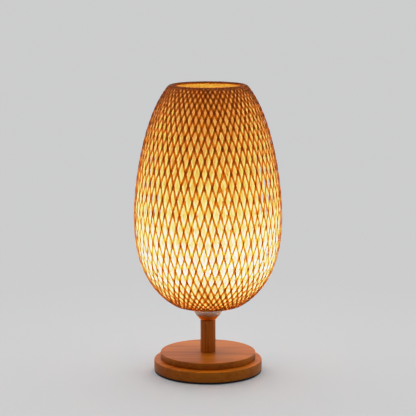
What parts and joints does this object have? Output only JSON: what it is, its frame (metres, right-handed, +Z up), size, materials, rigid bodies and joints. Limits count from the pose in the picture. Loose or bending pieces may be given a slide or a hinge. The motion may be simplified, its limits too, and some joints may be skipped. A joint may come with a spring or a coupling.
{
  "type": "table lamp",
  "caption": "Table lamp with an egg-shaped woven bamboo shade, open at the top, on a short round wooden post and a stepped round wooden base.",
  "frame": {"origin": "middle of the underside of the base pad", "axes": "+Z up along the post and the shade's axis; +Y points to the back, where the cord goes in; -Y is the front"},
  "size_m": [0.2038, 0.2038, 0.3997],
  "materials": {
    "pad_rubber": "matt black closed-cell pad",
    "base_wood": "cherry-coloured stain, satin lacquer, fine straight grain",
    "post_wood": "the same stained wood, turned, grain upright",
    "zinc_steel": "zinc plated",
    "polished_bowl": "polished and lacquered, mirror-like",
    "grey_collar": "satin grey",
    "contact_brass": "stamped, plain",
    "socket_ceramic": "unglazed white",
    "black_plastic": "fine matt moulding",
    "bamboo": "split bamboo strips, satin skin, long fibres, glowing amber from behind",
    "hoop_wire": "annealed wire",
    "frosted_glass": "frosted inside, lit warm white",
    "filament_coat": "yellow phosphor coat"
  },
  "bodies": {
    "lamp_stand": {"base_pad": "pad_rubber", "lower_base_disc": "base_wood", "upper_base_disc": "base_wood", "base_screw_1": "zinc_steel", "base_screw_2": "zinc_steel", "base_screw_3": "zinc_steel", "cord_inlet_bush": "black_plastic", "threaded_tube": "zinc_steel", "tube_washer": "zinc_steel", "tube_nut": "zinc_steel", "post": "post_wood", "holder_dome": "polished_bowl", "dome_lock_nut": "zinc_steel", "holder_skirt": "grey_collar", "holder_core": "socket_ceramic", "screw_sleeve": "contact_brass", "centre_contact": "contact_brass", "terminal_screw_live": "contact_brass", "terminal_screw_neutral": "contact_brass", "shade_outer_weave": "bamboo", "shade_rim_fold": "bamboo", "shade_inner_weave": "bamboo", "shade_top_hoop": "hoop_wire", "shade_bottom_hoop": "hoop_wire", "shade_support_plate": "zinc_steel", "shade_clamp_plate": "zinc_steel", "shade_ring_nut": "black_plastic"},
    "bulb_carriage": {"bulb_tip_contact": "contact_brass"},
    "bulb": {"bulb_globe": "frosted_glass", "bulb_cap": "zinc_steel", "bulb_cap_insulator": "black_plastic", "bulb_stem": "frosted_glass", "led_filament_1": "filament_coat", "led_filament_2": "filament_coat", "led_filament_3": "filament_coat", "led_filament_4": "filament_coat"}
  },
  "joints": [
    {"name": "bulb_lift", "type": "slide", "parent": "lamp_stand", "child": "bulb_carriage", "axis": [0, 0, 1], "range_m": [0, 0.0146]},
    {"name": "bulb_screw", "type": "hinge", "parent": "bulb_carriage", "child": "bulb", "pos_m": [0, 0, 0.1], "axis": [0, 0, 1], "range_deg": [0, 1440]}
  ],
  "couplings": [
    {"joint": "bulb_lift", "follows": "bulb_screw", "m_per_rad": 0.00057757}
  ]
}
